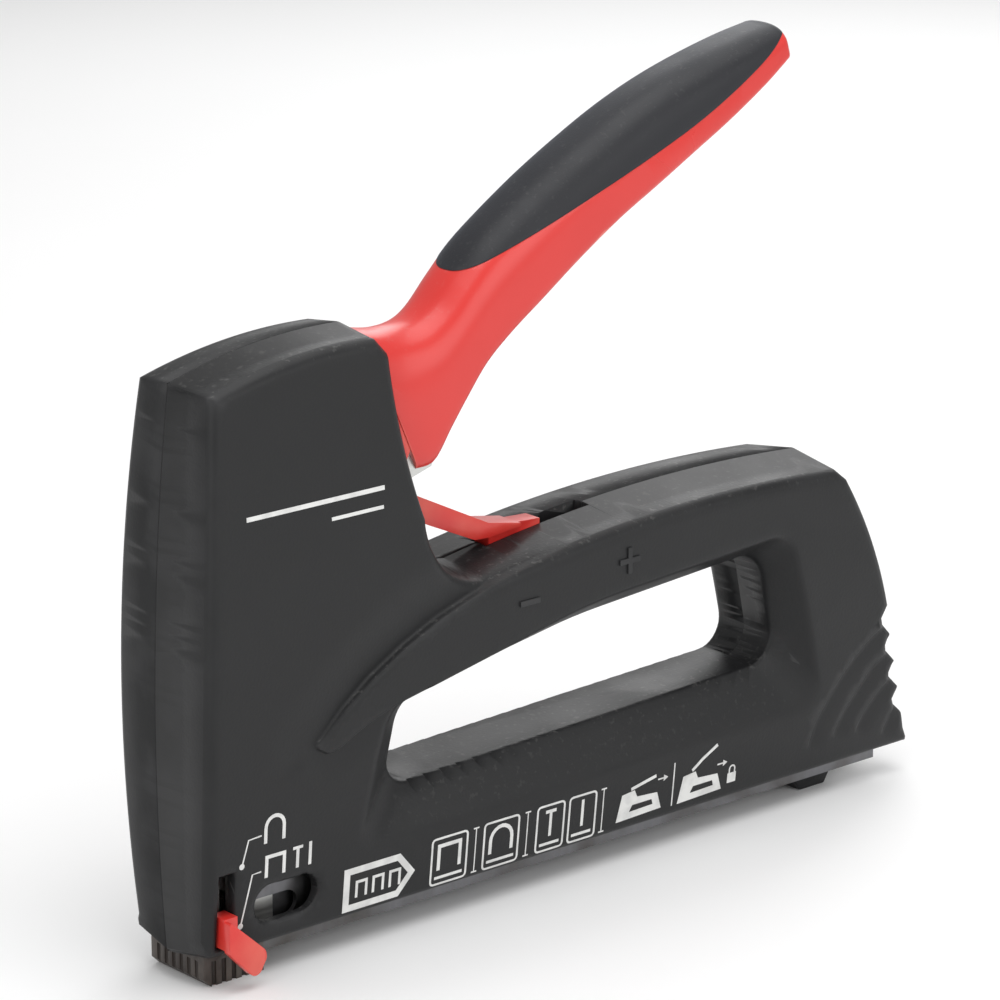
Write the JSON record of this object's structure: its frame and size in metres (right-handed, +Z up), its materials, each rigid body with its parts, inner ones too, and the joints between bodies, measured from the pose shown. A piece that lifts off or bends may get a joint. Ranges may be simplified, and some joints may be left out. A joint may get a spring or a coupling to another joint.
{
  "type": "staple gun",
  "caption": "Hand staple gun with a squeeze lever, soft grip, finger loop, pull-out staple rail, power slider and staple selector.",
  "frame": {"origin": "nose tip: where the driver's line meets the surface the tool stands on, in the parting plane", "axes": "+X towards the rear of the tool, +Y towards its right-hand shell, +Z up along the driver"},
  "size_m": [0.1931, 0.0299, 0.1669],
  "materials": {
    "casing_black": "fine textured near-black moulding",
    "red_plastic": "satin-gloss red moulding",
    "grip_rubber": "soft-touch overmould",
    "plated_steel": "zinc-plated sheet",
    "dark_steel": "oiled hardened steel",
    "spring_steel": "spring wire",
    "bumper_rubber": "plain rubber",
    "screw_zinc": "black zinc"
  },
  "bodies": {
    "casing": {"casing_left": "casing_black", "casing_right": "casing_black", "casing_screws": "screw_zinc", "nose_block": "dark_steel", "front_plate": "plated_steel", "driver_guide": "plated_steel", "guide_rivets": "plated_steel", "stop_bumper": "bumper_rubber", "mainspring": "spring_steel", "spring_seat": "casing_black", "magazine_channel": "plated_steel", "pivot_pin": "plated_steel", "lever_spring": "spring_steel", "slider_detent": "spring_steel"},
    "lever": {"lever_body": "red_plastic", "lever_grip": "grip_rubber", "lever_core": "plated_steel", "lift_pins": "plated_steel"},
    "driver": {"driver_blade": "dark_steel", "driver_block": "plated_steel", "lift_stirrup": "plated_steel"},
    "slider": {"power_slider": "red_plastic"},
    "selector": {"selector_tab": "red_plastic", "selector_gate": "plated_steel"},
    "rail": {"magazine_rail": "plated_steel", "magazine_tab": "casing_black", "pusher_rod": "plated_steel", "pusher_spring": "spring_steel"},
    "pusher": {"staple_pusher": "casing_black"}
  },
  "joints": [
    {"name": "lever_squeeze", "type": "hinge", "parent": "casing", "child": "lever", "pos_m": [0.036, 0, 0.101], "axis": [0, 1, 0], "range_deg": [0, 27], "stiffness_Nm_per_rad": 2, "springref_deg": -17.19},
    {"name": "driver_lift", "type": "slide", "parent": "casing", "child": "driver", "axis": [0, 0, 1], "range_m": [0, 0.0166], "deforming": ["mainspring"]},
    {"name": "power_slide", "type": "slide", "parent": "casing", "child": "slider", "axis": [0.9936, 0, 0.1132], "range_m": [0, 0.012]},
    {"name": "selector_slide", "type": "slide", "parent": "casing", "child": "selector", "axis": [0, 0, 1], "range_m": [0, 0.008]},
    {"name": "rail_pull", "type": "slide", "parent": "casing", "child": "rail", "axis": [1, 0, 0], "range_m": [0, 0.15]},
    {"name": "pusher_slide", "type": "slide", "parent": "rail", "child": "pusher", "axis": [1, 0, 0], "range_m": [0, 0.1], "stiffness_N_per_m": 20, "springref_m": -0.15, "deforming": ["pusher_spring"]}
  ],
  "couplings": [
    {"joint": "driver_lift", "follows": "lever_squeeze", "m_per_rad": 0.035014}
  ]
}
